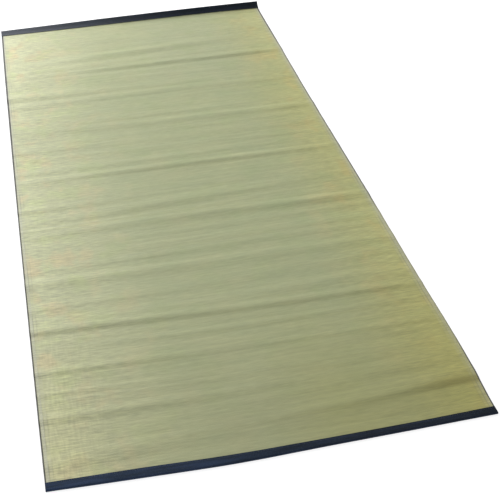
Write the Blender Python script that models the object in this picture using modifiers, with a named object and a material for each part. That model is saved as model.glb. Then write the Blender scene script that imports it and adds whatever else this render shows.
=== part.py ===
# A goza mat laid out on a floor: one woven rush sheet and a cloth binding folded over each short end.
# Metres, +Z up. X runs across the mat, along its rushes. Y runs along its length, to the far end.
# The origin is on the floor, under the middle of the mat.

import math
from collections import namedtuple

import bmesh
import bpy
import numpy as np

# Driving sizes of the sheet and of the cloth binding
MAT_WIDTH = 0.750
MAT_THICKNESS = 0.0020
BINDING_PLY = 0.0010
BINDING_CLEARANCE = 0.0003

# The sheet sits on the lower ply of a binding and comes down to the floor past it
SEAT_HEIGHT = BINDING_PLY + BINDING_CLEARANCE
SEAT_RAMP = 0.026

# The far end curls up over this much of its length
CURL_RUN = 0.024

# Finished ends, measured to the outside of the bindings, how far each binding reaches in over the mat,
# and how far the far end is curled up
EndStation = namedtuple("EndStation", "across near_end near_band far_end far_band far_lift")
END_STATIONS = [
    EndStation(0.00, -0.8891, 0.0174, 0.9010, 0.0240, 0.0055),
    EndStation(0.20, -0.8967, 0.0198, 0.8998, 0.0232, 0.0086),
    EndStation(0.40, -0.9026, 0.0187, 0.8982, 0.0208, 0.0119),
    EndStation(0.62, -0.9009, 0.0158, 0.8973, 0.0187, 0.0137),
    EndStation(0.80, -0.8999, 0.0153, 0.8960, 0.0180, 0.0147),
    EndStation(1.00, -0.8984, 0.0166, 0.8945, 0.0200, 0.0145),
]

# How far the two woven long sides wander outwards from straight
SideStation = namedtuple("SideStation", "along left_out right_out")
SIDE_STATIONS = [
    SideStation(along=-0.91, left_out=0.0005, right_out=-0.0036),
    SideStation(along=-0.76, left_out=0.0018, right_out=0.0023),
    SideStation(along=-0.50, left_out=0.0030, right_out=0.0012),
    SideStation(along=-0.10, left_out=0.0041, right_out=0.0010),
    SideStation(along=0.35, left_out=0.0042, right_out=-0.0011),
    SideStation(along=0.70, left_out=0.0035, right_out=0.0006),
    SideStation(along=0.90, left_out=0.0018, right_out=0.0008),
]

# Ridges lie flatter from this share of the width to the right side, by this share of their rise
HELD_FROM = 0.90
HELD_SHARE = 0.70

# Ridges left by folding, far end first. Each crest runs along the rushes, from the left side
# through the middle to the right side, and falls away over its far and its near run.
Crease = namedtuple(
    "Crease", "left middle right rise_left rise_middle rise_right far_run near_run"
)
CREASES = [
    Crease(0.658, 0.677, 0.699, 0.0000, 0.0037, 0.0000, 0.034, 0.029),
    Crease(0.611, 0.620, 0.618, 0.0016, 0.0016, 0.0005, 0.024, 0.019),
    Crease(0.587, 0.587, 0.583, 0.0010, 0.0034, 0.0044, 0.032, 0.019),
    Crease(0.469, 0.455, 0.441, 0.0034, 0.0014, 0.0006, 0.034, 0.023),
    Crease(0.420, 0.423, 0.413, 0.0012, 0.0022, 0.0015, 0.026, 0.025),
    Crease(0.286, 0.260, 0.250, 0.0009, 0.0019, 0.0048, 0.022, 0.031),
    Crease(0.189, 0.178, 0.163, 0.0017, 0.0006, 0.0014, 0.033, 0.023),
    Crease(0.085, 0.082, 0.090, 0.0012, 0.0011, 0.0003, 0.019, 0.016),
    Crease(0.047, 0.042, 0.034, 0.0010, 0.0027, 0.0022, 0.020, 0.017),
    Crease(-0.073, -0.073, -0.057, 0.0020, 0.0001, 0.0008, 0.024, 0.014),
    Crease(-0.128, -0.109, -0.080, 0.0014, 0.0018, 0.0007, 0.034, 0.024),
    Crease(-0.170, -0.174, -0.185, 0.0012, 0.0025, 0.0046, 0.022, 0.025),
    Crease(-0.261, -0.269, -0.271, 0.0002, 0.0005, 0.0020, 0.025, 0.020),
    Crease(-0.343, -0.352, -0.358, 0.0026, 0.0021, 0.0021, 0.024, 0.027),
    Crease(-0.491, -0.512, -0.522, 0.0032, 0.0028, 0.0031, 0.021, 0.016),
    Crease(-0.545, -0.566, -0.568, 0.0000, 0.0013, 0.0007, 0.015, 0.014),
    Crease(-0.609, -0.625, -0.633, 0.0018, 0.0010, 0.0016, 0.020, 0.013),
    Crease(-0.729, -0.738, -0.745, 0.0027, 0.0008, 0.0000, 0.019, 0.018),
    Crease(-0.838, -0.819, -0.790, 0.0028, 0.0000, 0.0046, 0.034, 0.028),
]

# Fineness of the surfaces
COLUMNS = 10
CREASE_STEPS = 3
CURL_STEPS = 8
BINDING_STEPS = 6
END_ROUND_STEPS = 5
LEAST_ROW = 0.0029
LARGEST_ROW = 0.045

# Half the height of a binding's middle line, and how far a binding reaches past the sheet's end
BINDING_HALF_HEIGHT = MAT_THICKNESS / 2 + BINDING_CLEARANCE + BINDING_PLY / 2
BINDING_REACH = BINDING_HALF_HEIGHT + BINDING_PLY / 2


def soft_curve(at, stations, values):
    """Values at the given places on a soft curve through the stations."""
    stations, values = np.asarray(stations, float), np.asarray(values, float)
    slopes = np.gradient(values, stations)
    at = np.clip(np.asarray(at, float), stations[0], stations[-1])
    i = np.clip(np.searchsorted(stations, at) - 1, 0, len(stations) - 2)
    step = stations[i + 1] - stations[i]
    t = (at - stations[i]) / step
    rise = values[i + 1] - values[i]
    bend_in = slopes[i] * step - rise
    bend_out = rise - slopes[i + 1] * step
    return values[i] + t * rise + t * (1 - t) * (bend_in * (1 - t) + bend_out * t)


def end_line(across, column):
    """A column of the end table, at each place across the mat."""
    return soft_curve(
        across,
        [row.across for row in END_STATIONS],
        [getattr(row, column) for row in END_STATIONS],
    )


def side_x(across, along):
    """X of a point at a share of the width from the left side, with the sides' wander."""
    places = [row.along for row in SIDE_STATIONS]
    left = soft_curve(along, places, [row.left_out for row in SIDE_STATIONS])
    right = soft_curve(along, places, [row.right_out for row in SIDE_STATIONS])
    return (across - 0.5) * MAT_WIDTH - left * (1 - across) + right * across


def crest_line(crease, across):
    """Y of a crease's crest at each place across the mat."""
    return soft_curve(across, (0, 0.5, 1), (crease.left, crease.middle, crease.right))


def sheet_end(across, far):
    """Y of the rush sheet's own end, inside its binding."""
    if far:
        return end_line(across, "far_end") - BINDING_REACH
    return end_line(across, "near_end") + BINDING_REACH


def held_down(across):
    """Share of a ridge's rise that is left near the right side, where the edge cord holds it flatter."""
    share = np.clip((across - HELD_FROM) / (1 - HELD_FROM), 0, 1)
    return 1 - HELD_SHARE * share * share * (3 - 2 * share)


def ridge_height(across, along):
    """Height of the folding ridges at a point of the sheet."""
    height = np.zeros(np.broadcast(across, along).shape)
    for crease in CREASES:
        rises = (crease.rise_left, crease.rise_middle, crease.rise_right)
        rise = np.maximum(soft_curve(across, (0, 0.5, 1), rises), 0) * held_down(across)
        past = along - crest_line(crease, across)
        share = np.abs(past) / np.where(past > 0, crease.far_run, crease.near_run)
        height += rise * np.cos(math.pi / 2 * np.minimum(share, 1)) ** 2
    return height


def seat_height(from_end, band):
    """Height of the sheet above the floor where it lies on a binding's lower ply."""
    share = np.clip((from_end - band) / SEAT_RAMP, 0, 1)
    return SEAT_HEIGHT * np.cos(math.pi / 2 * share) ** 2


def underside(across, along):
    """Height of the sheet's underside above the floor."""
    from_far = np.maximum(sheet_end(across, True) - along, 0)
    from_near = np.maximum(along - sheet_end(across, False), 0)
    curl = end_line(across, "far_lift") * np.maximum(1 - from_far / CURL_RUN, 0) ** 2
    seats = seat_height(from_far, end_line(across, "far_band"))
    seats = seats + seat_height(from_near, end_line(across, "near_band"))
    return ridge_height(across, along) + seats + curl


def row_stations():
    """Places of the rows of faces along the middle line: on every crease and end, then between."""
    near, far = float(sheet_end(0.5, False)), float(sheet_end(0.5, True))
    places = [near, far] + [crease.middle for crease in CREASES]
    wanted = []
    for step in range(1, CREASE_STEPS + 1):
        share = step / CREASE_STEPS
        wanted += [crease.middle + share * crease.far_run for crease in CREASES]
        wanted += [crease.middle - share * crease.near_run for crease in CREASES]
    wanted += [far - CURL_RUN * step / CURL_STEPS for step in range(1, CURL_STEPS + 1)]
    for share in (0, 0.5, 1):
        wanted += [near + float(end_line(0.5, "near_band")) + share * SEAT_RAMP]
        wanted += [far - float(end_line(0.5, "far_band")) - share * SEAT_RAMP]
    for place in wanted:
        if near < place < far and min(abs(place - kept) for kept in places) >= LEAST_ROW:
            places.append(place)
    places.sort()
    rows = [places[0]]
    for place in places[1:]:
        parts = math.ceil((place - rows[-1]) / LARGEST_ROW)
        rows += list(np.linspace(rows[-1], place, parts + 1)[1:])
    return np.array(rows)


def sheet_rows(across):
    """Y of every row at every column: the rows bend with the creases and the ends between them."""
    lines = [(float(sheet_end(0.5, False)), sheet_end(across, False))]
    lines += [(crease.middle, crest_line(crease, across)) for crease in CREASES[::-1]]
    lines += [(float(sheet_end(0.5, True)), sheet_end(across, True))]
    middles = [line[0] for line in lines]
    rows = row_stations()
    columns = [
        np.interp(rows, middles, [line[1][column] for line in lines])
        for column in range(len(across))
    ]
    return np.array(columns).T


def end_frame(across, from_end, far):
    """Middle of the sheet's thickness at a distance from its end, with its outward direction."""
    sign = 1 if far else -1
    end = float(sheet_end(across, far))
    probe = 0.0005

    def point(distance):
        along = end - sign * distance
        return np.array([along, float(underside(across, along))])

    ahead, behind = point(max(from_end - probe, 0)), point(from_end + probe)
    outward = (ahead - behind) / np.linalg.norm(ahead - behind)
    upward = np.array([-sign * outward[1], sign * outward[0]])
    return point(from_end) + upward * MAT_THICKNESS / 2, outward, upward


def binding_section(across, far):
    """Middle line of a binding, as Y and Z, from its upper edge round the end to its lower edge."""
    depth = float(end_line(across, "far_band" if far else "near_band")) - BINDING_REACH
    upper, lower = [], []
    for step in range(BINDING_STEPS, 0, -1):
        middle, outward, upward = end_frame(across, depth * step / BINDING_STEPS, far)
        upper.append(middle + upward * BINDING_HALF_HEIGHT)
        lower.append(middle - upward * BINDING_HALF_HEIGHT)
    middle, outward, upward = end_frame(across, 0.0, far)
    turn = []
    for step in range(END_ROUND_STEPS + 1):
        angle = math.pi * step / END_ROUND_STEPS
        arm = math.cos(angle) * upward + math.sin(angle) * outward
        turn.append(middle + arm * BINDING_HALF_HEIGHT)
    return upper + turn + lower[::-1]


def clear_scene():
    """Remove whatever the open file holds."""
    for item in list(bpy.data.objects):
        bpy.data.objects.remove(item, do_unlink=True)


def make_collection(name):
    """A collection of its own for the mat."""
    collection = bpy.data.collections.new(name)
    bpy.context.scene.collection.children.link(collection)
    return collection


def make_material(name, colour, roughness):
    """A plain material with the colour and roughness of one sub-part."""
    material = bpy.data.materials.new(name)
    material.use_nodes = True
    shader = material.node_tree.nodes["Principled BSDF"]
    shader.inputs["Base Color"].default_value = (*colour, 1.0)
    shader.inputs["Roughness"].default_value = roughness
    shader.inputs["Metallic"].default_value = 0.0
    return material


def grid_object(name, points, thickness, offset, material, collection):
    """A sheet whose rows and columns of corners lie at the given points, made solid."""
    rows, columns = points.shape[0] - 1, points.shape[1] - 1
    mesh = bpy.data.meshes.new(name)
    shape = bmesh.new()
    bmesh.ops.create_grid(shape, x_segments=columns, y_segments=rows, size=0.5)
    for corner in shape.verts:
        column = round((corner.co.x + 0.5) * columns)
        row = round((corner.co.y + 0.5) * rows)
        corner.co = points[row, column]
    shape.to_mesh(mesh)
    shape.free()
    mesh.shade_smooth()
    mesh.materials.append(material)
    item = bpy.data.objects.new(name, mesh)
    collection.objects.link(item)
    solid = item.modifiers.new("thickness", "SOLIDIFY")
    solid.thickness = thickness
    solid.offset = offset
    solid.use_even_offset = True
    return item


def make_rush_mat(collection):
    """The woven sheet, built up from its underside."""
    across = np.linspace(0, 1, COLUMNS + 1)
    along = sheet_rows(across)
    points = np.empty(along.shape + (3,))
    points[..., 0] = side_x(across[None, :], along)
    points[..., 1] = along
    points[..., 2] = underside(across[None, :], along)
    material = make_material("rush", (0.46, 0.47, 0.27), 0.55)
    return grid_object("rush_mat", points, MAT_THICKNESS, 1.0, material, collection)


def make_binding(name, far, material, collection):
    """A cloth strip folded over one end of the sheet."""
    across = np.linspace(0, 1, COLUMNS + 1)
    section = np.array([binding_section(share, far) for share in across])
    ends = side_x(across, sheet_end(across, far))
    points = np.empty((section.shape[1], COLUMNS + 1, 3))
    points[..., 0] = ends[None, :]
    points[..., 1:] = section.transpose(1, 0, 2)
    if far:
        points = points[::-1]
    return grid_object(name, points, BINDING_PLY, 0.0, material, collection)


def main():
    """Build the whole mat."""
    clear_scene()
    collection = make_collection("goza_mat")
    make_rush_mat(collection)
    navy = make_material("navy_binding", (0.022, 0.030, 0.062), 0.80)
    make_binding("binding_near", False, navy, collection)
    make_binding("binding_far", True, navy, collection)


main()
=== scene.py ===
# A goza mat laid out on a pale floor: its woven rush sheet, the navy cloth bindings, their
# stitching, soft studio light and the photograph's camera. Metres, +Z up. X runs across the mat,
# along its rushes. Y runs along its length, to the far end.

import math
from collections import namedtuple

import bpy
import numpy as np
from mathutils import Matrix, Vector


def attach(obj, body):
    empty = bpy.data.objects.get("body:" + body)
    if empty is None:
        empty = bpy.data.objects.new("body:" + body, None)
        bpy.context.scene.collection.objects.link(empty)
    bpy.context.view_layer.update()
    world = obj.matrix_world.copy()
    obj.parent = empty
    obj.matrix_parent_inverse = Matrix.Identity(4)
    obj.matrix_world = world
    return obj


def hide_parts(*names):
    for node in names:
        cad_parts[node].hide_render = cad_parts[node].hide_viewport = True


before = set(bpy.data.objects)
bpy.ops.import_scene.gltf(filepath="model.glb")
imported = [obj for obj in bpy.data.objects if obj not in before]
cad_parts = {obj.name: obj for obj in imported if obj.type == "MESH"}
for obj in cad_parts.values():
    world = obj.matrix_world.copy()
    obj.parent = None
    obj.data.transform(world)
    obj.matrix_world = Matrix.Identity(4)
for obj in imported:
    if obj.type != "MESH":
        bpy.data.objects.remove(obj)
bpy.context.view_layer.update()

# Places across the mat, as shares of its width: the left side, the middle and the right side
LEFT_TO_RIGHT = (0, 0.5, 1)

# Driving sizes of the sheet and of the cloth binding
MAT_WIDTH = 0.750
MAT_LENGTH = 1.800
MAT_THICKNESS = 0.0020
BINDING_PLY = 0.0010
BINDING_CLEARANCE = 0.0003

# The sheet sits on the lower ply of a binding and comes down to the floor past it
SEAT_HEIGHT = BINDING_PLY + BINDING_CLEARANCE
SEAT_RAMP = 0.026

# The far end curls up over this much of its length
CURL_RUN = 0.024

# Finished ends, measured to the outside of the bindings, how far each binding reaches in over the
# mat, and how far the far end is curled up
EndStation = namedtuple("EndStation", "across near_end near_band far_end far_band far_lift")
END_STATIONS = [
    EndStation(0.00, -0.8891, 0.0174, 0.9010, 0.0240, 0.0055),
    EndStation(0.20, -0.8967, 0.0198, 0.8998, 0.0232, 0.0086),
    EndStation(0.40, -0.9026, 0.0187, 0.8982, 0.0208, 0.0119),
    EndStation(0.62, -0.9009, 0.0158, 0.8973, 0.0187, 0.0137),
    EndStation(0.80, -0.8999, 0.0153, 0.8960, 0.0180, 0.0147),
    EndStation(1.00, -0.8984, 0.0166, 0.8945, 0.0200, 0.0145),
]

# How far the two woven long sides wander outwards from straight
SideStation = namedtuple("SideStation", "along left_out right_out")
SIDE_STATIONS = [
    SideStation(along=-0.91, left_out=0.0005, right_out=-0.0036),
    SideStation(along=-0.76, left_out=0.0018, right_out=0.0023),
    SideStation(along=-0.50, left_out=0.0030, right_out=0.0012),
    SideStation(along=-0.10, left_out=0.0041, right_out=0.0010),
    SideStation(along=0.35, left_out=0.0042, right_out=-0.0011),
    SideStation(along=0.70, left_out=0.0035, right_out=0.0006),
    SideStation(along=0.90, left_out=0.0018, right_out=0.0008),
]

# Ridges lie flatter from this share of the width to the right side, by this share of their rise
HELD_FROM = 0.90
HELD_SHARE = 0.70

# Ridges left by folding, far end first. Each crest runs along the rushes, from the left side
# through the middle to the right side, and falls away over its far and its near run.
Crease = namedtuple(
    "Crease", "left middle right rise_left rise_middle rise_right far_run near_run"
)
CREASES = [
    Crease(0.658, 0.677, 0.699, 0.0000, 0.0037, 0.0000, 0.034, 0.029),
    Crease(0.611, 0.620, 0.618, 0.0016, 0.0016, 0.0005, 0.024, 0.019),
    Crease(0.587, 0.587, 0.583, 0.0010, 0.0034, 0.0044, 0.032, 0.019),
    Crease(0.469, 0.455, 0.441, 0.0034, 0.0014, 0.0006, 0.034, 0.023),
    Crease(0.420, 0.423, 0.413, 0.0012, 0.0022, 0.0015, 0.026, 0.025),
    Crease(0.286, 0.260, 0.250, 0.0009, 0.0019, 0.0048, 0.022, 0.031),
    Crease(0.189, 0.178, 0.163, 0.0017, 0.0006, 0.0014, 0.033, 0.023),
    Crease(0.085, 0.082, 0.090, 0.0012, 0.0011, 0.0003, 0.019, 0.016),
    Crease(0.047, 0.042, 0.034, 0.0010, 0.0027, 0.0022, 0.020, 0.017),
    Crease(-0.073, -0.073, -0.057, 0.0020, 0.0001, 0.0008, 0.024, 0.014),
    Crease(-0.128, -0.109, -0.080, 0.0014, 0.0018, 0.0007, 0.034, 0.024),
    Crease(-0.170, -0.174, -0.185, 0.0012, 0.0025, 0.0046, 0.022, 0.025),
    Crease(-0.261, -0.269, -0.271, 0.0002, 0.0005, 0.0020, 0.025, 0.020),
    Crease(-0.343, -0.352, -0.358, 0.0026, 0.0021, 0.0021, 0.024, 0.027),
    Crease(-0.491, -0.512, -0.522, 0.0032, 0.0028, 0.0031, 0.021, 0.016),
    Crease(-0.545, -0.566, -0.568, 0.0000, 0.0013, 0.0007, 0.015, 0.014),
    Crease(-0.609, -0.625, -0.633, 0.0018, 0.0010, 0.0016, 0.020, 0.013),
    Crease(-0.729, -0.738, -0.745, 0.0027, 0.0008, 0.0000, 0.019, 0.018),
    Crease(-0.838, -0.819, -0.790, 0.0028, 0.0000, 0.0046, 0.034, 0.028),
]

# Lesser ridges between them, too low for the solids
SMALL_CREASES = [
    Crease(0.561, 0.549, 0.537, 0.0000, 0.0009, 0.0000, 0.020, 0.018),
    Crease(0.346, 0.338, 0.357, 0.0012, 0.0003, 0.0005, 0.023, 0.024),
    Crease(0.305, 0.297, 0.292, 0.0003, 0.0012, 0.0000, 0.027, 0.017),
    Crease(0.218, 0.213, 0.219, 0.0001, 0.0002, 0.0011, 0.018, 0.015),
    Crease(0.151, 0.133, 0.116, 0.0008, 0.0003, 0.0005, 0.017, 0.018),
    Crease(-0.153, -0.146, -0.114, 0.0014, 0.0004, 0.0000, 0.012, 0.010),
    Crease(-0.216, -0.227, -0.223, 0.0001, 0.0005, 0.0011, 0.015, 0.014),
    Crease(-0.302, -0.298, -0.300, 0.0008, 0.0011, 0.0008, 0.019, 0.017),
    Crease(-0.424, -0.424, -0.403, 0.0011, 0.0004, 0.0012, 0.025, 0.015),
    Crease(-0.473, -0.480, -0.464, 0.0009, 0.0012, 0.0005, 0.024, 0.034),
    Crease(-0.665, -0.678, -0.645, 0.0013, 0.0000, 0.0005, 0.008, 0.013),
    Crease(-0.687, -0.698, -0.682, 0.0005, 0.0002, 0.0001, 0.008, 0.008),
    Crease(-0.818, -0.818, -0.806, 0.0003, 0.0006, 0.0010, 0.018, 0.010),
]

# Short faint wrinkles that come and go between the ridges: shares of the width, metres along
WISP_SEED = 11
WISP_COUNT = 90
WISP_ACROSS = (0.04, 0.96)
WISP_ALONG = (-0.83, 0.83)
WISP_REACH = (0.10, 0.32)
WISP_LEAN = 0.006
WISP_RUN = (0.0065, 0.0130)
WISP_RISE = (0.00010, 0.00030)

# Slow unevenness of the sheet as it lies: waves along the length, each drifting across the width
SWELL_SEED = 5
SWELL_COUNT = 26
SWELL_LENGTHS = (0.045, 0.210)
SWELL_DRIFT = 1.6
SWELL_SWAY = (0.6, 1.4)
SWELL_HEIGHT = 0.00005

# The lesser heights start this far from the ends, clear of the bindings, and are whole this far
LOOSE_FROM, LOOSE_WHOLE = 0.021, 0.070

# How the rushes bow between the ends, at the left side and at the right side
BOW_LEFT, BOW_RIGHT = -0.008, 0.006

# Steps along the sheet, and across it between the finer steps by each long side
SHEET_ROWS = 720
SHEET_COLUMNS = 46

# The outermost warp cord makes a round edge: its underside and its top, over the sheet's underside
EdgeStation = namedtuple("EdgeStation", "inwards under top")
EDGE_STATIONS = [
    EdgeStation(inwards=0.0000, under=0.00070, top=0.00150),
    EdgeStation(inwards=0.0004, under=0.00025, top=0.00200),
    EdgeStation(inwards=0.0010, under=0.00000, top=0.00222),
    EdgeStation(inwards=0.0017, under=0.00000, top=0.00222),
    EdgeStation(inwards=0.0024, under=0.00000, top=0.00200),
    EdgeStation(inwards=0.0031, under=0.00000, top=0.00178),
    EdgeStation(inwards=0.0045, under=0.00000, top=0.00196),
    EdgeStation(inwards=0.0080, under=0.00000, top=0.00205),
    EdgeStation(inwards=0.0125, under=0.00000, top=0.00198),
    EdgeStation(inwards=0.0150, under=0.00000, top=0.00184),
    EdgeStation(inwards=0.0180, under=0.00000, top=0.00200),
]

# Weave: rush spacing along the mat, warp spacing across it, and by each side the woven-in strip
# and the cord
RUSH_PITCH = 0.0017
WARP_PITCH = 0.0050
STRIP_WIDTH = 0.0150
CORD_WIDTH = 0.0027

# Flat layout of the sheet for a baked picture, in shares of it: the top in lengths side by side,
# then the underside, with gaps between them. Each long side's woven strip, in metres, gets a wider
# share than its true one.
LAYOUT_LENGTHS = 4
LAYOUT_UNDERSIDE = 0.12
LAYOUT_GAP = 0.005
LAYOUT_LIP = 0.002
LAYOUT_STRIP = 0.018
LAYOUT_STRIP_SHARE = 0.15

# The slope of the sheet by its ends is taken from this far to either side of a point
SLOPE_PROBE = 0.0005

# Bindings: the cloth's middle line and outer reach, its grid of points, and the places where its
# width is measured
BINDING_HALF_HEIGHT = MAT_THICKNESS / 2 + BINDING_CLEARANCE + BINDING_PLY / 2
BINDING_REACH = BINDING_HALF_HEIGHT + BINDING_PLY / 2
BINDING_COLUMNS = 600
BINDING_ROUND_STEPS = 9
WIDTH_SAMPLES = 101

# The seam's groove and its stitches, the share of a thread's section left at its tips, and how deep
# its middle lies in the upper face and how much deeper its tips, in radii
SEAM_INSET = 0.0028
SEAM_DEPTH = 0.00022
SEAM_HALF_WIDTH = 0.0009
STITCH_PITCH = 0.0040
STITCH_LENGTH = 0.0032
THREAD_RADIUS = 0.00022
STITCH_SIDES = 6
STITCH_RINGS = 7
STITCH_TIP = 0.04
SINK_MIDDLE, SINK_TIPS = 0.2, 1.6

# Distances from a binding's edge, in the cloth, where its surface has a row of points
CLOTH_ROWS = [0, 0.0003, 0.0007, 0.0012, 0.0018, 0.0023, 0.0028]
CLOTH_ROWS += [0.0033, 0.0039, 0.0050, 0.0068, 0.0090, 0.0112, 0.0128]

# Half the ply at distances from its turned edge, and how far the inner face is kept back
EDGE_DISTANCES = (0, 0.0004, 0.0010)
EDGE_HALVES = (0.00020, 0.00040, BINDING_PLY / 2)
INNER_FACE_BACK = 0.00005

# Puckers between the stitches, and slow wrinkles in the cloth, with radians a metre along the
# seam, along it for their wander, and away from it
PUCKER_HEIGHT = 0.00012
PUCKER_REACH = 0.0035
WRINKLE_HEIGHT = 0.00007
WRINKLE_FROM = 0.0005
WRINKLE_ALONG, WRINKLE_SWAY, WRINKLE_SLANT = 47, 19, 160
WRINKLE_WANDER = 3


def soft_curve(at, stations, values):
    """Values at the given places on a soft curve through the stations."""
    stations, values = np.asarray(stations, float), np.asarray(values, float)
    slopes = np.gradient(values, stations)
    at = np.clip(np.asarray(at, float), stations[0], stations[-1])
    i = np.clip(np.searchsorted(stations, at) - 1, 0, len(stations) - 2)
    step = stations[i + 1] - stations[i]
    t = (at - stations[i]) / step
    rise = values[i + 1] - values[i]
    bend_in = slopes[i] * step - rise
    bend_out = rise - slopes[i + 1] * step
    return values[i] + t * rise + t * (1 - t) * (bend_in * (1 - t) + bend_out * t)


def soft_step(value, low, high):
    """0 up to low, 1 from high, and a soft rise between them."""
    t = np.clip((value - low) / (high - low), 0, 1)
    return t * t * (3 - 2 * t)


def end_line(across, column):
    """A column of the end table, at each place across the mat."""
    return soft_curve(
        across,
        [row.across for row in END_STATIONS],
        [getattr(row, column) for row in END_STATIONS],
    )


def side_x(across, along):
    """X of a point at a share of the width from the left side, with the sides' wander."""
    places = [row.along for row in SIDE_STATIONS]
    left = soft_curve(along, places, [row.left_out for row in SIDE_STATIONS])
    right = soft_curve(along, places, [row.right_out for row in SIDE_STATIONS])
    return (across - 0.5) * MAT_WIDTH - left * (1 - across) + right * across


def sheet_end(across, far):
    """Y of the rush sheet's own end, inside its binding."""
    if far:
        return end_line(across, "far_end") - BINDING_REACH
    return end_line(across, "near_end") + BINDING_REACH


def ridge_height(across, along, creases):
    """Height of the folding ridges at a point of the sheet."""
    height = np.zeros(np.broadcast(across, along).shape)
    for crease in creases:
        crest = soft_curve(across, LEFT_TO_RIGHT, (crease.left, crease.middle, crease.right))
        rises = (crease.rise_left, crease.rise_middle, crease.rise_right)
        rise = np.maximum(soft_curve(across, LEFT_TO_RIGHT, rises), 0)
        rise = rise * (1 - HELD_SHARE * soft_step(across, HELD_FROM, 1))
        past = along - crest
        share = np.abs(past) / np.where(past > 0, crease.far_run, crease.near_run)
        height += rise * np.cos(math.pi / 2 * np.minimum(share, 1)) ** 2
    return height


def wisp_height(across, along):
    """Height of the short faint wrinkles."""
    draw = np.random.default_rng(WISP_SEED)
    height = np.zeros(np.broadcast(across, along).shape)
    for _ in range(WISP_COUNT):
        middle, place = draw.uniform(*WISP_ACROSS), draw.uniform(*WISP_ALONG)
        reach, run = draw.uniform(*WISP_REACH), draw.uniform(*WISP_RUN)
        lean, rise = draw.uniform(-WISP_LEAN, WISP_LEAN), draw.uniform(*WISP_RISE)
        off = (across - middle) / reach
        past = (along - place - lean * off) / run
        height += rise * np.maximum(1 - off**2, 0) ** 2 * np.maximum(1 - past**2, 0) ** 2
    return height


def swell_height(across, along):
    """Height of the slow unevenness, never below the floor."""
    draw = np.random.default_rng(SWELL_SEED)
    height = np.full(np.broadcast(across, along).shape, 2 * SWELL_HEIGHT)
    for _ in range(SWELL_COUNT):
        length, drift = draw.uniform(*SWELL_LENGTHS), draw.uniform(-SWELL_DRIFT, SWELL_DRIFT)
        phase, sway = draw.uniform(0, 2 * math.pi), draw.uniform(*SWELL_SWAY)
        aside = drift * math.pi * np.sin(sway * math.pi * across)
        height += SWELL_HEIGHT * np.sin(2 * math.pi * along / length + phase + aside)
    return np.maximum(height, 0)


def seat_height(from_end, band):
    """Height of the sheet above the floor where it lies on a binding's lower ply."""
    share = np.clip((from_end - band) / SEAT_RAMP, 0, 1)
    return SEAT_HEIGHT * np.cos(math.pi / 2 * share) ** 2


def underside(across, along):
    """Height of the sheet's underside above the floor: ridges, seats on the bindings, the curl."""
    from_far = np.maximum(sheet_end(across, True) - along, 0)
    from_near = np.maximum(along - sheet_end(across, False), 0)
    curl = end_line(across, "far_lift") * np.maximum(1 - from_far / CURL_RUN, 0) ** 2
    seats = seat_height(from_far, end_line(across, "far_band"))
    seats = seats + seat_height(from_near, end_line(across, "near_band"))
    return ridge_height(across, along, CREASES) + seats + curl


def loose_height(across, along):
    """Height that the lesser ridges, wrinkles and unevenness add between the bindings."""
    from_end = np.minimum(sheet_end(across, True) - along, along - sheet_end(across, False))
    small = ridge_height(across, along, SMALL_CREASES)
    small = small + wisp_height(across, along) + swell_height(across, along)
    return small * soft_step(from_end, LOOSE_FROM, LOOSE_WHOLE)


def closed_sheet(name, outer, inner, places, material):
    """A closed thin sheet between two grids of points, with each point's place in the weave."""
    rows, columns = outer.shape[:2]
    top = np.arange(rows * columns).reshape(rows, columns)
    low = top + rows * columns

    def quads(*corners):
        return np.stack([np.ravel(corner) for corner in corners], 1)

    faces = np.concatenate(
        [
            quads(top[:-1, :-1], top[:-1, 1:], top[1:, 1:], top[1:, :-1]),
            quads(low[:-1, :-1], low[1:, :-1], low[1:, 1:], low[:-1, 1:]),
            quads(low[0, :-1], low[0, 1:], top[0, 1:], top[0, :-1]),
            quads(low[-1, 1:], low[-1, :-1], top[-1, :-1], top[-1, 1:]),
            quads(low[1:, 0], low[:-1, 0], top[:-1, 0], top[1:, 0]),
            quads(low[:-1, -1], low[1:, -1], top[1:, -1], top[:-1, -1]),
        ]
    )
    points = np.concatenate([outer.reshape(-1, 3), inner.reshape(-1, 3)])
    places = np.tile(places.reshape(-1, 3), (2, 1))
    return mesh_object(name, points, faces.tolist(), places, material)


def mesh_object(name, points, faces, places, material):
    """A smooth mesh object, with each point's place in the weave kept as an attribute."""
    mesh = bpy.data.meshes.new(name)
    mesh.from_pydata(points.tolist(), [], [tuple(face) for face in faces])
    weave = mesh.attributes.new("weave", "FLOAT_VECTOR", "POINT")
    weave.data.foreach_set("vector", places.astype(np.float32).ravel())
    mesh.shade_smooth()
    mesh.materials.append(material)
    item = bpy.data.objects.new(name, mesh)
    bpy.context.scene.collection.objects.link(item)
    return item


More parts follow.
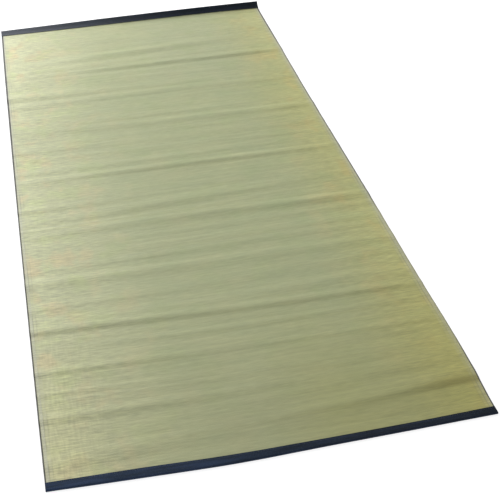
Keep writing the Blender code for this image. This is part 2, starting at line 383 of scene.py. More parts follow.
def lay_out(mesh, rows, columns):
    """Give the sheet's mesh its flat layout, which keeps single rushes apart in a baked picture."""
    corners = np.empty(len(mesh.loops), np.int32)
    mesh.loops.foreach_get("vertex_index", corners)
    corners = corners.reshape(-1, 4)
    count = len(columns)
    below = corners >= rows * count
    row, column = corners % (rows * count) // count, corners % count
    bounds = (0, LAYOUT_STRIP, MAT_WIDTH - LAYOUT_STRIP, MAT_WIDTH)
    shares = (0, LAYOUT_STRIP_SHARE, 1 - LAYOUT_STRIP_SHARE, 1)
    across = np.interp(columns, bounds, shares)[column]

    each = (rows - 1) // LAYOUT_LENGTHS
    length = np.minimum(row.min(axis=1, keepdims=True) // each, LAYOUT_LENGTHS - 1)
    width = (1 - LAYOUT_UNDERSIDE) / LAYOUT_LENGTHS
    u = length * width + LAYOUT_GAP + across * (width - 2 * LAYOUT_GAP)
    v = LAYOUT_GAP + (row / each - length) * (1 - 2 * LAYOUT_GAP)
    on_side = (column == column[:, :1]).all(axis=1, keepdims=True) & below
    on_end = (row == row[:, :1]).all(axis=1, keepdims=True) & below
    u = u + on_side * np.where(column == 0, -LAYOUT_LIP, LAYOUT_LIP)
    v = v + on_end * np.where(row == 0, -LAYOUT_LIP, LAYOUT_LIP)

    under = below.all(axis=1, keepdims=True)
    under_u = 1 - LAYOUT_GAP - across * (LAYOUT_UNDERSIDE - 2 * LAYOUT_GAP)
    under_v = LAYOUT_GAP + row / (rows - 1) * (1 - 2 * LAYOUT_GAP)
    places = np.stack([np.where(under, under_u, u), np.where(under, under_v, v)], -1)
    layout = mesh.uv_layers.new(name="OFBake")
    layout.uv.foreach_set("vector", places.astype(np.float32).ravel())


def make_rush_sheet(material):
    """The woven sheet: fine rows that bow with the rushes, and a round cord by each long side."""
    inwards = [row.inwards for row in EDGE_STATIONS]
    middle = np.linspace(inwards[-1], MAT_WIDTH - inwards[-1], SHEET_COLUMNS + 1)[1:-1]
    columns = np.concatenate([inwards, middle, MAT_WIDTH - np.array(inwards[::-1])])
    across = (columns / MAT_WIDTH)[None, :]
    share = np.linspace(0, 1, SHEET_ROWS + 1)[:, None]
    near, far = sheet_end(across, False), sheet_end(across, True)
    bow = soft_curve(across, LEFT_TO_RIGHT, (BOW_LEFT, 0, BOW_RIGHT))
    along = near + share * (far - near) + bow * np.sin(math.pi * share)
    low = np.empty(along.shape + (3,))
    low[..., 0] = side_x(across, along)
    low[..., 1] = along
    low[..., 2] = underside(across, along) + loose_height(across, along)
    slope = np.arctan2(np.gradient(low[..., 2], axis=0), np.gradient(along, axis=0))
    upward = np.stack([np.zeros_like(slope), -np.sin(slope), np.cos(slope)], -1)
    from_side = np.minimum(columns, MAT_WIDTH - columns)
    under = np.interp(from_side, inwards, [row.under for row in EDGE_STATIONS])[None, :, None]
    top = np.interp(from_side, inwards, [row.top for row in EDGE_STATIONS])[None, :, None]
    places = np.zeros(along.shape + (3,))
    places[..., 0] = columns[None, :]
    places[..., 1] = share * MAT_LENGTH
    sheet = closed_sheet("rush_sheet", low + upward * top, low + upward * under, places, material)
    lay_out(sheet.data, SHEET_ROWS + 1, columns)
    return sheet


def end_frame(across, from_end, far):
    """Middle of the sheet's thickness at a distance from its end, and its outward and upward
    directions there."""
    sign = 1 if far else -1
    end = sheet_end(across, far)

    def point(distance):
        along = end - sign * distance
        return np.stack([along, underside(across, along)], -1)

    outward = point(np.maximum(from_end - SLOPE_PROBE, 0)) - point(from_end + SLOPE_PROBE)
    outward /= np.linalg.norm(outward, axis=-1, keepdims=True)
    upward = np.stack([-sign * outward[..., 1], sign * outward[..., 0]], -1)
    return point(from_end) + upward * MAT_THICKNESS / 2, outward, upward


def ply_halves(from_edge, along_seam, facing_floor):
    """How far the cloth's outer and inner faces stand from its middle line, at a distance from its
    edge. Nothing stands out on the face that lies on the floor."""
    half = np.interp(from_edge, EDGE_DISTANCES, EDGE_HALVES)
    seam = np.maximum(1 - ((from_edge - SEAM_INSET) / SEAM_HALF_WIDTH) ** 2, 0)
    near_seam = np.exp(-(((from_edge - SEAM_INSET) / PUCKER_REACH) ** 2))
    pucker = PUCKER_HEIGHT * near_seam * np.cos(2 * math.pi * along_seam / STITCH_PITCH)
    sway = WRINKLE_WANDER * np.sin(along_seam * WRINKLE_SWAY)
    wave = np.sin(along_seam * WRINKLE_ALONG + sway + from_edge * WRINKLE_SLANT)
    wrinkle = WRINKLE_HEIGHT * wave
    if facing_floor:
        pucker, wrinkle = np.minimum(pucker, 0), np.minimum(wrinkle, 0)
    outer = half - SEAM_DEPTH * seam + pucker + wrinkle * (from_edge > WRINKLE_FROM)
    return outer, half - INNER_FACE_BACK


def binding_surfaces(across, far):
    """Outer and inner faces of a binding, from its upper edge round the end to its lower edge,
    with each point's place in the cloth."""
    depth = end_line(across, "far_band" if far else "near_band") - BINDING_REACH
    along_seam = across * MAT_WIDTH
    outer, inner, run = [], [], []

    def add(middle, arm, halves, distance):
        outward_half, inward_half = np.broadcast_arrays(*halves)
        outer.append(middle + arm * (BINDING_HALF_HEIGHT + outward_half)[:, None])
        inner.append(middle + arm * (BINDING_HALF_HEIGHT - inward_half)[:, None])
        run.append(distance)

    for from_edge in CLOTH_ROWS:
        middle, _, upward = end_frame(across, depth - from_edge, far)
        add(middle, upward, ply_halves(from_edge, along_seam, False), from_edge)
    middle, outward, upward = end_frame(across, 0.0, far)
    for step in range(BINDING_ROUND_STEPS + 1):
        angle = math.pi * step / BINDING_ROUND_STEPS
        arm = math.cos(angle) * upward + math.sin(angle) * outward
        halves = ply_halves(depth, along_seam, step > BINDING_ROUND_STEPS / 2)
        add(middle, arm, halves, depth + angle * BINDING_HALF_HEIGHT)
    lower = depth + math.pi * BINDING_HALF_HEIGHT
    for from_edge in CLOTH_ROWS[::-1]:
        middle, _, upward = end_frame(across, depth - from_edge, far)
        halves = ply_halves(from_edge, along_seam, True)
        add(middle, -upward, halves, lower + depth - from_edge)

    def in_space(rows):
        points = np.empty((len(rows), len(across), 3))
        points[..., 0] = side_x(across, sheet_end(across, far))[None, :]
        points[..., 1:] = np.array(rows)
        return points

    places = np.zeros((len(run), len(across), 3))
    places[..., 0] = along_seam[None, :]
    places[..., 1] = np.array([distance + 0 * across for distance in run])
    places[..., 2] = places[..., 1] - (depth + math.pi / 2 * BINDING_HALF_HEIGHT)
    return in_space(outer), in_space(inner), places


def make_binding(name, far, material):
    """A cloth strip folded over one end of the sheet."""
    across = np.linspace(0, 1, BINDING_COLUMNS + 1)
    outer, inner, places = binding_surfaces(across, far)
    if not far:
        outer, inner, places = outer[::-1], inner[::-1], places[::-1]
    return closed_sheet(name, outer, inner, places, material)


def strip_width(far):
    """Width of a binding's cloth before it is folded, along the middle of its thickness."""
    outer, inner, _ = binding_surfaces(np.linspace(0, 1, WIDTH_SAMPLES), far)
    steps = np.diff((outer + inner) / 2, axis=0)
    return float(np.linalg.norm(steps, axis=-1).sum(axis=0).mean())


def make_seam(name, far, material):
    """The stitches of one binding: a row of short threads on each of its faces."""
    count = int(MAT_WIDTH / STITCH_PITCH)
    shares = np.linspace(-0.5, 0.5, STITCH_RINGS)
    middles = (np.arange(count) + 0.5) * STITCH_PITCH
    seam = middles[:, None] + shares[None, :] * STITCH_LENGTH
    outer, inner, _ = binding_surfaces(seam.ravel() / MAT_WIDTH, far)
    row = CLOTH_ROWS.index(SEAM_INSET)
    angles = 2 * math.pi * np.arange(STITCH_SIDES) / STITCH_SIDES
    towards_tip = (2 * shares) ** 4
    radius = THREAD_RADIUS * np.sqrt(np.maximum(1 - towards_tip, STITCH_TIP))
    points, places = [], []
    for index, upper in ((row, True), (len(outer) - 1 - row, False)):
        line = outer[index].reshape(count, STITCH_RINGS, 3)
        outward = line - inner[index].reshape(count, STITCH_RINGS, 3)
        outward /= np.linalg.norm(outward, axis=-1, keepdims=True)
        along = np.gradient(line, axis=1)
        along /= np.linalg.norm(along, axis=-1, keepdims=True)
        aside = np.cross(along, outward)
        sink = SINK_MIDDLE + SINK_TIPS * towards_tip if upper else np.ones(STITCH_RINGS)
        centre = line - outward * (THREAD_RADIUS * sink)[None, :, None]
        arms = (
            np.cos(angles)[:, None] * outward[:, :, None, :]
            + np.sin(angles)[:, None] * aside[:, :, None, :]
        )
        rings = centre[:, :, None, :] + arms * radius[None, :, None, None]
        points.append(rings.reshape(-1, 3))
        place = np.zeros((count, STITCH_RINGS, STITCH_SIDES, 3))
        place[..., 0] = seam[:, :, None]
        place[..., 1] = angles
        places.append(place.reshape(-1, 3))
    faces = []
    each = STITCH_RINGS * STITCH_SIDES
    for first in range(0, 2 * count * each, each):
        for ring in range(STITCH_RINGS - 1):
            for side in range(STITCH_SIDES):
                a = first + ring * STITCH_SIDES + side
                b = first + ring * STITCH_SIDES + (side + 1) % STITCH_SIDES
                faces.append((a, b, b + STITCH_SIDES, a + STITCH_SIDES))
        last = first + (STITCH_RINGS - 1) * STITCH_SIDES
        faces.append(tuple(range(first + STITCH_SIDES - 1, first - 1, -1)))
        faces.append(tuple(range(last, last + STITCH_SIDES)))
    return mesh_object(name, np.concatenate(points), faces, np.concatenate(places), material)


# Soft unevenness of a material: how often it changes in a metre, in its two directions, its seed,
# its detail and its roughness
Pattern = namedtuple("Pattern", "first second seed detail roughness", defaults=(2.0, 0.5))


class Value:
    """An output of a node that takes part in sums. Each sum adds one node."""

    def __init__(self, paint, socket):
        self.paint, self.socket = paint, socket

    def __add__(self, other):
        return self.paint.math("ADD", self, other)

    def __radd__(self, other):
        return self.paint.math("ADD", other, self)

    def __sub__(self, other):
        return self.paint.math("SUBTRACT", self, other)

    def __rsub__(self, other):
        return self.paint.math("SUBTRACT", other, self)

    def __mul__(self, other):
        return self.paint.math("MULTIPLY", self, other)

    def __rmul__(self, other):
        return self.paint.math("MULTIPLY", other, self)


class Paint:
    """A material whose colours and relief are built up from nodes by short calls."""

    def __init__(self, name, **settings):
        self.material = bpy.data.materials.new(name)
        self.material.use_nodes = True
        self.tree = self.material.node_tree
        self.shader = self.tree.nodes["Principled BSDF"]
        for key, value in settings.items():
            self.shader.inputs[key.replace("_", " ")].default_value = value

    def put(self, socket, value):
        """Link a value to a socket, or set the socket to a number or colour."""
        if isinstance(value, Value):
            self.tree.links.new(value.socket, socket)
        elif isinstance(value, tuple) and len(value) == 3 and socket.type == "RGBA":
            socket.default_value = (*value, 1.0)
        else:
            socket.default_value = value

    def node(self, kind, inputs=(), output=0, **settings):
        """A node with its settings and inputs, and the value of one of its outputs."""
        node = self.tree.nodes.new(kind)
        for key, value in settings.items():
            setattr(node, key, value)
        for key, value in dict(inputs).items():
            self.put(node.inputs[key], value)
        return Value(self, node.outputs[output])

    def math(self, operation, *values):
        """One step of arithmetic."""
        return self.node("ShaderNodeMath", enumerate(values), operation=operation)

    def mix(self, share, first, second, blend="MIX"):
        """Two colours mixed by a share."""
        inputs = {0: share, 6: first, 7: second}
        return self.node("ShaderNodeMix", inputs, 2, data_type="RGBA", blend_type=blend)

    def step(self, value, low, high):
        """0 up to low, 1 from high, and a soft rise between them."""
        inputs = {"Value": value, "From Min": low, "From Max": high}
        return self.node("ShaderNodeMapRange", inputs, interpolation_type="SMOOTHSTEP")

    def fall(self, value, low, high):
        """1 up to low, 0 from high, and a soft fall between them."""
        return 1 - self.step(value, low, high)

    def spot(self, offset, low, high):
        """1 up to low away from a place, to either side, and 0 from high."""
        return self.fall(self.math("ABSOLUTE", offset), low, high)

    def wave(self, angle, operation="SINE"):
        """A sine or cosine brought between 0 and 1."""
        return self.math(operation, angle) * 0.5 + 0.5

    def place(self):
        """A point's place in the weave: metres in both thread directions, and from the fold."""
        vector = self.node("ShaderNodeAttribute", output="Vector", attribute_name="weave")
        split = self.tree.nodes.new("ShaderNodeSeparateXYZ")
        self.put(split.inputs[0], vector)
        return tuple(Value(self, output) for output in split.outputs)

    def vector(self, *parts):
        """Three numbers or values as one vector."""
        return self.node("ShaderNodeCombineXYZ", enumerate(parts))

    def noise(self, first, second, pattern):
        """A pattern's value at two places: from 0 to 1, about 0.5."""
        places = (first * pattern.first, second * pattern.second, float(pattern.seed))
        inputs = {
            "Vector": self.vector(*places),
            "Scale": 1.0,
            "Detail": pattern.detail,
            "Roughness": pattern.roughness,
        }
        return self.node("ShaderNodeTexNoise", inputs)

    def bump(self, height, distance, strength=1.0):
        """Relief of the surface from a height between 0 and 1."""
        inputs = {"Height": height, "Distance": distance, "Strength": strength}
        return self.node("ShaderNodeBump", inputs)

    def finish(self, colour, roughness, normal):
        """Join the colour, the roughness and the relief to the shader."""
        self.put(self.shader.inputs["Base Color"], colour)
        self.put(self.shader.inputs["Roughness"], roughness)
        self.put(self.shader.inputs["Normal"], normal)
        return self.material


# Patterns of the rushes, across the mat and along it: how and how far they wander, the fibre in
# each, and from rush to rush, by the rush's number in place of metres along
WANDER = Pattern(3.0, 42.0, seed=1)
WANDER_REACH = 0.9
FIBRE = Pattern(55.0, 5200.0, seed=3, detail=1.0)
SINGLE = Pattern(4.0, 7.31, seed=5, detail=1.0)

# Fine streaks, dashes along a rush, columns along the mat, and slow bands of light and shade
STREAK = Pattern(9.0, 120.0, seed=7, detail=3.0, roughness=0.6)
DASH = Pattern(48.0, 330.0, seed=17, detail=1.0)
COLUMN = Pattern(230.0, 34.0, seed=23, detail=1.0)
BAND = Pattern(2.2, 24.0, seed=9)

# Patches of colour, specks in the woven-in strip, and where its lines are broken
DRIFT = Pattern(10.0, 18.0, seed=19, detail=3.0)
BLOTCH_PATCH = Pattern(17.0, 12.0, seed=11, detail=3.0)
OLIVE_PATCH = Pattern(15.0, 13.0, seed=13, detail=3.0)
SPECK = Pattern(420.0, 260.0, seed=15, detail=1.0)
BROKEN = Pattern(3.0, 11.0, seed=21)

# Green and straw: how much each pattern fades the rushes, from where to where that counts, and the
# least and the further share of straw
GREEN, STRAW = (0.350, 0.400, 0.206), (0.412, 0.424, 0.218)
DRIFT_FADES, STREAK_FADES, SINGLE_FADES = 0.72, 0.18, 0.10
FADED_RISE = (0.30, 0.70)
STRAW_LEAST, STRAW_MORE = 0.25, 0.50

# Zones in metres from the left side: the cream side, partly painted light, and the gold side
CREAM_FALL = (0.005, 0.300)
GOLD_RISE = (0.560, 0.735)

# Zones in metres from the near end: the near part, and the nearest
NEARER_FALL = (0.0, 0.620)
NEAREST_FALL = (0.0, 0.420)

# Colours laid over green and straw in turn: each one's share, and what the cream side and the gold
# side add to it
Tint = namedtuple("Tint", "colour share on_cream on_gold", defaults=(0, 0))
# Cream: partly the paler rush ends, partly painted light on the left side
CREAM_AND_LIGHT = Tint((0.534, 0.552, 0.310), 0.80)
GOLD = Tint((0.458, 0.444, 0.160), 0.72)
# Painted light: paler towards the far end, most on the left side
FAR_PAINTED_LIGHT = Tint((0.640, 0.640, 0.400), 0.16, on_cream=0.24)
# Painted shade: darker over the middle of the far part, less on the gold side
FAR_PAINTED_SHADE = Tint((0.300, 0.330, 0.240), 0.14, on_gold=-0.08)
BLOTCH = Tint((0.590, 0.490, 0.255), 0.05, on_cream=0.62, on_gold=0.50)
OLIVE = Tint((0.335, 0.398, 0.175), 0.28, on_cream=0.24)
NEAR = Tint((0.325, 0.318, 0.134), 0.36)
NEAR_GOLD = Tint((0.410, 0.372, 0.072), 0.55)
SUNNED = Tint((0.372, 0.362, 0.092), 0.42)
NEAR_LEFT = Tint((0.610, 0.575, 0.262), 0.34)
BLOTCH_ON_GOLD = (0.500, 0.415, 0.150)
OLIVE_ON_CREAM = (0.500, 0.565, 0.235)

# Where they lie: metres along and across the mat, or the values of their patches
FAR_PAINTED_LIGHT_RISE = (1.250, 1.800)
FAR_SHADE_ALONG, FAR_SHADE_ACROSS = (1.250, 1.420), (0.320, 0.440)
BLOTCH_RISE, OLIVE_RISE = (0.50, 0.68), (0.50, 0.66)
SUNNED_RISE = (0.340, 0.520)
NEAR_LEFT_FALL = (0.020, 0.130)

# Light and shade of the rushes: the plain tone, what each pattern and wave adds to it, and a gain
PLAIN_TONE, TONE_GAIN = 0.86, 1.35
STREAK_TONE, SINGLE_TONE, BAND_TONE = 0.30, 0.20, 0.12
RIB_TONE, OVER_TONE = 0.14, 0.07

# Dashes: their tone, and what the cream and the gold side add to it
DASH_TONE = (0.26, 0.50, 0.30)

# Columns by the left side: their tone, and what the near part adds to it
COLUMN_TONE, COLUMN_NEARER = 0.12, 0.26
COLUMN_FALL = (0.030, 0.170)

# A paler rim by both sides, and painted shade on the near end away from the left side
RIM_TONE, RIM_FALL = 0.06, (0.015, 0.080)
NEAR_END_SHADE, NEAR_END_FALL, NEAR_END_ACROSS = 0.07, (0.080, 0.200), (0.150, 0.400)

# A paler length of the gold side, and a duller one of the cream side
WORN_TONE, WORN_RISE, WORN_FALL = 0.05, (0.380, 0.480), (0.580, 0.700)
DULL_TONE, DULL_RISE, DULL_FALL = 0.06, (1.020, 1.100), (1.160, 1.260)

# Woven-in strip: by how much it falls and where, its colour, share and tones
STRIP_LINE = 0.0088
STRIP_FALLS = ((0.7, 0.0080, STRIP_LINE), (0.3, 0.0140, STRIP_WIDTH))
STRIP_COLOUR = (0.545, 0.550, 0.430)
STRIP_SHARE, STRIP_NEAR_GOLD_LESS = 0.55, 0.25
STRIP_RUSH_TONE, STRIP_SPECK_TONE = 0.14, 0.75

# Broken dark lines: how far from the side each is and its share, their colour and half width
LINES = ((STRIP_LINE, 0.42), (STRIP_WIDTH, 0.20))
LINE_COLOUR = (0.200, 0.200, 0.120)
LINE_FALL = (0.0003, 0.0011)
BROKEN_RISE = (0.44, 0.60)

# The small fold in the near right corner: painted shade in it, partly a darker stain
TROUGH_SHADE_AND_STAIN = Tint((0.255, 0.225, 0.052), 0.60)
TROUGH_PLACE, TROUGH_FALL, TROUGH_RISE = 0.088, (0.003, 0.013), (0.610, 0.730)

# Side cord, dark partly as painted shade along the edge: its soft edge, and by how much and
# where it grows wider at the far left and far right
CORD_FALL = (CORD_WIDTH - 0.0005, CORD_WIDTH + 0.0004)
WIDER_LEFT, WIDER_LEFT_RISE = 0.0023, (0.600, 1.500)
WIDER_RIGHT, WIDER_RIGHT_RISE = 0.0013, (1.480, 1.680)

# Its two colours, the dark one partly painted shade, its twist in radians a metre, and a length
# of it that is worn on the gold side
CORD_DARK_AND_SHADE, CORD_PALE = (0.031, 0.031, 0.025), (0.077, 0.076, 0.056)
CORD_TWIST_ALONG, CORD_TWIST_ACROSS = 2600.0, 2200.0
CORD_WORN = Tint((0.350, 0.340, 0.200), 0.92)
CORD_WORN_RISE, CORD_WORN_FALL = (0.100, 0.260), (0.600, 0.720)

# Relief and gloss of the rushes: the strength of the relief holds for the cloth too
RIB_RELIEF, FIBRE_RELIEF = 0.50, 0.25
RUSH_BUMP, BUMP_STRENGTH = 0.00045, 0.8
RUSH_ROUGHNESS, SINGLE_ROUGHNESS, STRIP_ROUGHNESS = 0.47, 0.16, 0.06

# What the steps of the rush material share: places, waves of the weave, two patterns and zones
Rush = namedtuple("Rush", "across weft edge rib over single streak cream_side gold_side nearer")


def on_sides(rush, amount, on_cream, on_gold):
    """An amount, with what the cream side and the gold side add to it."""
    if on_cream:
        amount = amount + on_cream * rush.cream_side
    if on_gold:
        amount = amount + on_gold * rush.gold_side
    return amount


def rush_colour(paint, rush):
    """Uneven green and straw, with the tints laid over them in turn, painted light and shade among
    them.
    """
    across, weft = rush.across, rush.weft
    drift = paint.noise(across, weft, DRIFT)
    faded = drift * DRIFT_FADES + rush.streak * STREAK_FADES + rush.single * SINGLE_FADES
    straw = STRAW_LEAST + paint.step(faded, *FADED_RISE) * STRAW_MORE
    far_shade = paint.step(weft, *FAR_SHADE_ALONG) * paint.step(across, *FAR_SHADE_ACROSS)
    blotch = paint.step(paint.noise(across, weft, BLOTCH_PATCH), *BLOTCH_RISE)
    blotch_colour = paint.mix(rush.gold_side, BLOTCH.colour, BLOTCH_ON_GOLD)
    olive = paint.step(paint.noise(across, weft, OLIVE_PATCH), *OLIVE_RISE)
    olive_colour = paint.mix(rush.cream_side, OLIVE.colour, OLIVE_ON_CREAM)
    nearest = paint.fall(weft, *NEAREST_FALL)
    sunned = nearest * paint.step(across, *SUNNED_RISE) * (1 - rush.gold_side)
    layers = (
        (rush.cream_side, CREAM_AND_LIGHT),
        (rush.gold_side, GOLD),
        (paint.step(weft, *FAR_PAINTED_LIGHT_RISE), FAR_PAINTED_LIGHT),
        (far_shade, FAR_PAINTED_SHADE),
        (blotch, BLOTCH._replace(colour=blotch_colour)),
        (olive, OLIVE._replace(colour=olive_colour)),
        (rush.nearer, NEAR),
        (rush.nearer * rush.gold_side, NEAR_GOLD),
        (sunned, SUNNED),
        (nearest * paint.fall(across, *NEAR_LEFT_FALL), NEAR_LEFT),
    )
    colour = paint.mix(straw, GREEN, STRAW)
    for zone, tint in layers:
        share = on_sides(rush, tint.share, tint.on_cream, tint.on_gold)
        colour = paint.mix(zone * share, colour, tint.colour)
    return colour


def rush_tone(paint, rush):
    """Light and shade of the rushes."""
    across, weft = rush.across, rush.weft
    tone = PLAIN_TONE + (rush.streak - 0.5) * STREAK_TONE + (rush.single - 0.5) * SINGLE_TONE
    tone = tone + (paint.noise(across, weft, BAND) - 0.5) * BAND_TONE
    tone = tone + (paint.noise(across, weft, DASH) - 0.5) * on_sides(rush, *DASH_TONE)
    column = (paint.noise(across, weft, COLUMN) - 0.5) * paint.fall(across, *COLUMN_FALL)
    tone = tone + column * (COLUMN_TONE + COLUMN_NEARER * rush.nearer)
    tone = tone * (1 + paint.fall(rush.edge, *RIM_FALL) * RIM_TONE)
    # Painted shade on the near end, away from the left side
    near_end = NEAR_END_SHADE * paint.fall(weft, *NEAR_END_FALL)
    tone = tone * (1 - near_end * paint.step(across, *NEAR_END_ACROSS))
    worn = rush.gold_side * paint.step(weft, *WORN_RISE) * paint.fall(weft, *WORN_FALL)
    dull = rush.cream_side * paint.step(weft, *DULL_RISE) * paint.fall(weft, *DULL_FALL)
    tone = tone * (1 + WORN_TONE * worn - DULL_TONE * dull)
    tone = tone * (1 - RIB_TONE + RIB_TONE * rush.rib)
    return tone * (1 - OVER_TONE + OVER_TONE * rush.over)


def strip_zone(paint, edge):
    """Where the woven-in strip is: whole by the side, and fainter past its line."""
    zone = 1
    for share, low, high in STRIP_FALLS:
        zone = zone - share * paint.step(edge, low, high)
    return zone


def with_strip(paint, rush, colour, strip):
    """The woven-in strip by each side, laid over the rushes."""
    ends = paint.wave(rush.weft * (math.pi / (2 * RUSH_PITCH)))
    speck = paint.noise(rush.across, rush.weft, SPECK) - 0.5
    tone = 1 - STRIP_RUSH_TONE + STRIP_RUSH_TONE * ends + speck * STRIP_SPECK_TONE
    strip_colour = paint.mix(1.0, STRIP_COLOUR, tone, "MULTIPLY")
    share = STRIP_SHARE - STRIP_NEAR_GOLD_LESS * rush.gold_side * rush.nearer
    return paint.mix(strip * share, colour, strip_colour)


def with_trough_shade_and_stain(paint, rush, colour):
    """Painted shade and a darker stain in the small near right fold, laid over the rushes."""
    zone = paint.spot(rush.weft - TROUGH_PLACE, *TROUGH_FALL)
    zone = zone * paint.step(rush.across, *TROUGH_RISE)
    return paint.mix(zone * TROUGH_SHADE_AND_STAIN.share, colour, TROUGH_SHADE_AND_STAIN.colour)


def with_lines(paint, rush, colour):
    """The broken dark lines of the woven-in strip, laid over the rushes."""
    broken = paint.step(paint.noise(rush.across, rush.weft, BROKEN), *BROKEN_RISE)
    for place, strength in LINES:
        line = paint.spot(rush.edge - place, *LINE_FALL)
        colour = paint.mix(line * broken * strength, colour, LINE_COLOUR)
    return colour


def side_cord_and_edge_shade(paint, rush):
    """Where the dark cord by each side is, its twist and its colour, partly painted shade."""
    wider_left = rush.cream_side * paint.step(rush.weft, *WIDER_LEFT_RISE) * WIDER_LEFT
    wider_right = rush.gold_side * paint.step(rush.weft, *WIDER_RIGHT_RISE) * WIDER_RIGHT
    cord = paint.fall(rush.edge - wider_left - wider_right, *CORD_FALL)
    twist = paint.wave(rush.weft * CORD_TWIST_ALONG + rush.across * CORD_TWIST_ACROSS)
    worn = rush.gold_side * paint.step(rush.weft, *CORD_WORN_RISE)
    worn = worn * paint.fall(rush.weft, *CORD_WORN_FALL)
    colour = paint.mix(twist, CORD_DARK_AND_SHADE, CORD_PALE)
    return cord, twist, paint.mix(worn * CORD_WORN.share, colour, CORD_WORN.colour)


def rush_material():
    """Woven rush: single rushes over and under warp threads, in uneven faded green and straw."""
    paint = Paint("woven_rush", IOR=1.5, Specular_IOR_Level=0.75)
    across, weft, _ = paint.place()
    wander = paint.noise(across, weft, WANDER) - 0.5
    in_rushes = weft * (1 / RUSH_PITCH) + wander * WANDER_REACH
    number = paint.math("FLOOR", in_rushes)
    warp = across * (1 / WARP_PITCH)
    rush = Rush(
        across=across,
        weft=weft,
        edge=paint.math("MINIMUM", across, MAT_WIDTH - across),
        rib=paint.math("SINE", paint.math("FRACT", in_rushes) * math.pi),
        over=paint.wave((warp + number) * math.pi, "COSINE"),
        single=paint.noise(across, number, SINGLE),
        streak=paint.noise(across, weft, STREAK),
        cream_side=paint.fall(across, *CREAM_FALL),
        gold_side=paint.step(across, *GOLD_RISE),
        nearer=paint.fall(weft, *NEARER_FALL),
    )
    tone = rush_tone(paint, rush) * TONE_GAIN
    colour = paint.mix(1.0, rush_colour(paint, rush), tone, "MULTIPLY")
    strip = strip_zone(paint, rush.edge)
    colour = with_strip(paint, rush, colour, strip)
    colour = with_trough_shade_and_stain(paint, rush, colour)
    colour = with_lines(paint, rush, colour)
    cord, twist, cord_and_shade_colour = side_cord_and_edge_shade(paint, rush)
    colour = paint.mix(cord, colour, cord_and_shade_colour)

    fibre = (paint.noise(across, weft, FIBRE) - 0.5) * FIBRE_RELIEF
    height = rush.rib * (RIB_RELIEF + (1 - RIB_RELIEF) * rush.over) + fibre
    height = height * (1 - cord) + twist * cord
    roughness = RUSH_ROUGHNESS + (rush.single - 0.5) * SINGLE_ROUGHNESS + strip * STRIP_ROUGHNESS
    return paint.finish(colour, roughness, paint.bump(height, RUSH_BUMP, BUMP_STRENGTH))


# Cloth: thread spacing, and patterns along the seam and across the cloth
CLOTH_PITCH = 0.00055
SLUB = Pattern(900.0, 160.0, seed=2, detail=1.0)
UNEVEN = Pattern(14.0, 120.0, seed=4, detail=3.0)
LINT = Pattern(700.0, 700.0, seed=6, detail=0.0)

# The paler fold, in metres from it, and the painted sheen, in metres from the left side
FOLD_FALL = (0.0004, 0.0030)
SHEEN_LEFT_FALL = (0.0, 0.62)

# Dyes: dark and pale, first away from the left side and then at it, lighter there as painted
# light, how they are mixed, and the colour of the painted sheen on the left side
DARK_DYE, DARK_DYE_LIT_LEFT = (0.005, 0.010, 0.017), (0.012, 0.026, 0.052)
PALE_DYE, PALE_DYE_LIT_LEFT = (0.012, 0.021, 0.040), (0.026, 0.050, 0.112)
UNEVEN_SHADE, SLUB_SHADE, SHADE_RISE = 0.7, 0.3, (0.36, 0.66)
PAINTED_SHEEN_CLOTH = (0.148, 0.158, 0.164)

# The paler fold and the lint
FOLD_TINT = Tint((0.062, 0.078, 0.130), 0.22)
LINT_TINT = Tint((0.16, 0.18, 0.24), 0.25)
LINT_RISE = (0.70, 0.78)

# The weave's light and shade, gloss and relief
WEAVE_DARK, WEAVE_TONE = 0.78, 0.34
CLOTH_ROUGHNESS, SLUB_ROUGHNESS = 0.72, 0.2
SLUB_RELIEF = 0.5
CLOTH_BUMP = 0.00018


def cloth_material(name, sheen_side, gloss):
    """Navy cotton binding: plain weave, unevenly dyed, faded fold, painted sheen on the left."""
    paint = Paint(name, Sheen_Weight=0.06, Sheen_Roughness=0.4, Specular_IOR_Level=gloss)
    along, run, from_fold = paint.place()
    warp = paint.math("SINE", along * (math.pi / CLOTH_PITCH))
    weft = paint.math("SINE", run * (math.pi / CLOTH_PITCH))
    weave = warp * weft * 0.5 + 0.5
    slub = paint.noise(along, run, SLUB)
    uneven = paint.noise(along, run, UNEVEN)
    lint = paint.step(paint.noise(along, run, LINT), *LINT_RISE)
    fold = paint.spot(from_fold, *FOLD_FALL)
    left = paint.fall(along, *SHEEN_LEFT_FALL)
    shade = paint.step(uneven * UNEVEN_SHADE + slub * SLUB_SHADE, *SHADE_RISE)
    dark = paint.mix(left, DARK_DYE, DARK_DYE_LIT_LEFT)
    pale = paint.mix(left, PALE_DYE, PALE_DYE_LIT_LEFT)
    colour = paint.mix(shade, dark, pale)
    # Painted sheen over the left side
    colour = paint.mix(left * sheen_side, colour, PAINTED_SHEEN_CLOTH)
    for zone, tint in ((fold, FOLD_TINT), (lint, LINT_TINT)):
        colour = paint.mix(zone * tint.share, colour, tint.colour)
    colour = paint.mix(1.0, colour, WEAVE_DARK + WEAVE_TONE * weave, "MULTIPLY")
    roughness = CLOTH_ROUGHNESS + (slub - 0.5) * SLUB_ROUGHNESS
    relief = paint.bump(weave + slub * SLUB_RELIEF, CLOTH_BUMP, BUMP_STRENGTH)
    return paint.finish(colour, roughness, relief)


# Sewing thread: its colours, its twist in radians a metre, its gloss and relief
THREAD_DARK, THREAD_PALE = (0.030, 0.038, 0.075), (0.075, 0.090, 0.150)
THREAD_TWIST = 7000.0
THREAD_ROUGHNESS, TWIST_ROUGHNESS = 0.38, 0.1
THREAD_BUMP = 0.0001


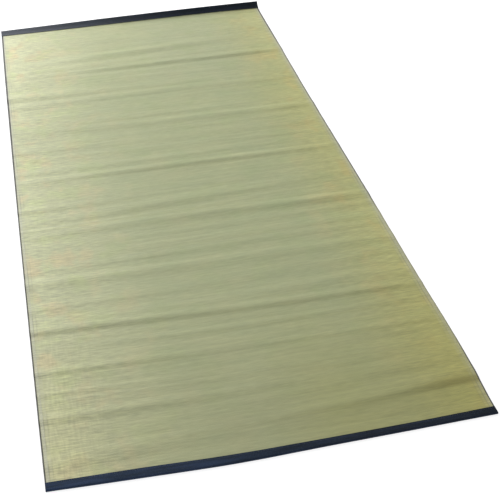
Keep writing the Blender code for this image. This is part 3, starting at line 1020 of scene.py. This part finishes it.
def thread_material():
    """Two-ply sewing thread, a little lighter and glossier than the cloth."""
    paint = Paint("navy_thread", Sheen_Weight=0.1)
    along, angle, _ = paint.place()
    twist = paint.wave(along * THREAD_TWIST + angle)
    colour = paint.mix(twist, THREAD_DARK, THREAD_PALE)
    roughness = THREAD_ROUGHNESS + twist * TWIST_ROUGHNESS
    return paint.finish(colour, roughness, paint.bump(twist, THREAD_BUMP))


# Floor: it lies a hair under the mat, and glows a little, as a lit studio floor does
FLOOR_HALF = 40.0
FLOOR_DROP = 0.0002
FLOOR_GREY = (0.50, 0.50, 0.50, 1)
FLOOR_GLOW = 0.78
WHITE = (1, 1, 1, 1)


def make_floor():
    """A plain pale floor."""
    mesh = bpy.data.meshes.new("studio_floor")
    corners = [(-1, -1), (1, -1), (1, 1), (-1, 1)]
    points = [(x * FLOOR_HALF, y * FLOOR_HALF, -FLOOR_DROP) for x, y in corners]
    mesh.from_pydata(points, [], [(0, 1, 2, 3)])
    paint = Paint("pale_floor", Roughness=0.95, Specular_IOR_Level=0.0)
    paint.shader.inputs["Base Color"].default_value = FLOOR_GREY
    paint.shader.inputs["Emission Color"].default_value = WHITE
    paint.shader.inputs["Emission Strength"].default_value = FLOOR_GLOW
    mesh.materials.append(paint.material)
    floor = bpy.data.objects.new("studio_floor", mesh)
    bpy.context.scene.collection.objects.link(floor)
    return floor


# Light: an even surround, and one large soft light beyond the far end, to the left
SURROUND = 0.46
LIGHT_PLACE = (-2.0, 3.8, 2.2)
LIGHT_AIM = (0.0, 0.0, 0.0)
LIGHT_SIZE = 2.0
LIGHT_POWER = 235.0


def make_light():
    """Soft studio light."""
    world = bpy.data.worlds.new("studio")
    world.use_nodes = True
    background = world.node_tree.nodes["Background"]
    background.inputs["Color"].default_value = WHITE
    background.inputs["Strength"].default_value = SURROUND
    bpy.context.scene.world = world
    lamp = bpy.data.lights.new("window", "AREA")
    lamp.shape = "SQUARE"
    lamp.size = LIGHT_SIZE
    lamp.energy = LIGHT_POWER
    item = bpy.data.objects.new("window", lamp)
    item.location = LIGHT_PLACE
    aim = Vector(LIGHT_AIM) - Vector(LIGHT_PLACE)
    item.rotation_mode = "QUATERNION"
    item.rotation_quaternion = aim.to_track_quat("-Z", "Y")
    bpy.context.scene.collection.objects.link(item)


# Camera: it looks at this point of the floor, from this bearing, height angle and distance. Its
# focal length is in pixels of the photograph.
CAMERA_AIM = (0.07977, -0.31818, 0.0)
CAMERA_BEARING = -0.20696647
CAMERA_HEIGHT = 0.61086319
CAMERA_ROLL = -0.02827142
CAMERA_DISTANCE = 2.22471
CAMERA_FOCUS = 1086.50
PICTURE_WIDTH = 500
SENSOR = 36.0
CAMERA_CLIP = 100.0


def make_camera():
    """The photograph's camera."""
    data = bpy.data.cameras.new("camera")
    data.sensor_fit = "HORIZONTAL"
    data.sensor_width = SENSOR
    data.lens = CAMERA_FOCUS / PICTURE_WIDTH * SENSOR
    data.dof.use_dof = False
    data.clip_end = CAMERA_CLIP
    level = math.cos(CAMERA_HEIGHT)
    aside, behind = math.sin(CAMERA_BEARING) * level, -math.cos(CAMERA_BEARING) * level
    back = Vector((aside, behind, math.sin(CAMERA_HEIGHT)))
    right = Vector((0, 0, 1)).cross(back).normalized()
    up = back.cross(right)
    turned = right * math.cos(CAMERA_ROLL) + up * math.sin(CAMERA_ROLL)
    raised = up * math.cos(CAMERA_ROLL) - right * math.sin(CAMERA_ROLL)
    place = Vector(CAMERA_AIM) + back * CAMERA_DISTANCE
    item = bpy.data.objects.new("camera", data)
    item.matrix_world = Matrix(
        [
            (turned.x, raised.x, back.x, place.x),
            (turned.y, raised.y, back.y, place.y),
            (turned.z, raised.z, back.z, place.z),
            (0, 0, 0, 1),
        ]
    )
    bpy.context.scene.collection.objects.link(item)
    bpy.context.scene.camera = item


# Bindings: which end, whether it is the far one, its painted sheen on the left, and its gloss
BINDINGS = (("near", False, 0.0, 0.12), ("far", True, 0.60, 0.25))

bpy.context.scene.view_settings.view_transform = "Standard"
make_camera()
make_light()
floor = make_floor()

rush_sheet = make_rush_sheet(rush_material())
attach(rush_sheet, "root")
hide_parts("rush_mat")

thread = thread_material()
for end, far, sheen_side, gloss in BINDINGS:
    cloth = cloth_material("navy_cotton_" + end, sheen_side, gloss)
    binding = make_binding("binding_" + end + "_cloth", far, cloth)
    seam = make_seam("seam_" + end, far, thread)
    for piece in (binding, seam):
        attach(piece, "root")
    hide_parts("binding_" + end)
    strip_width(far)
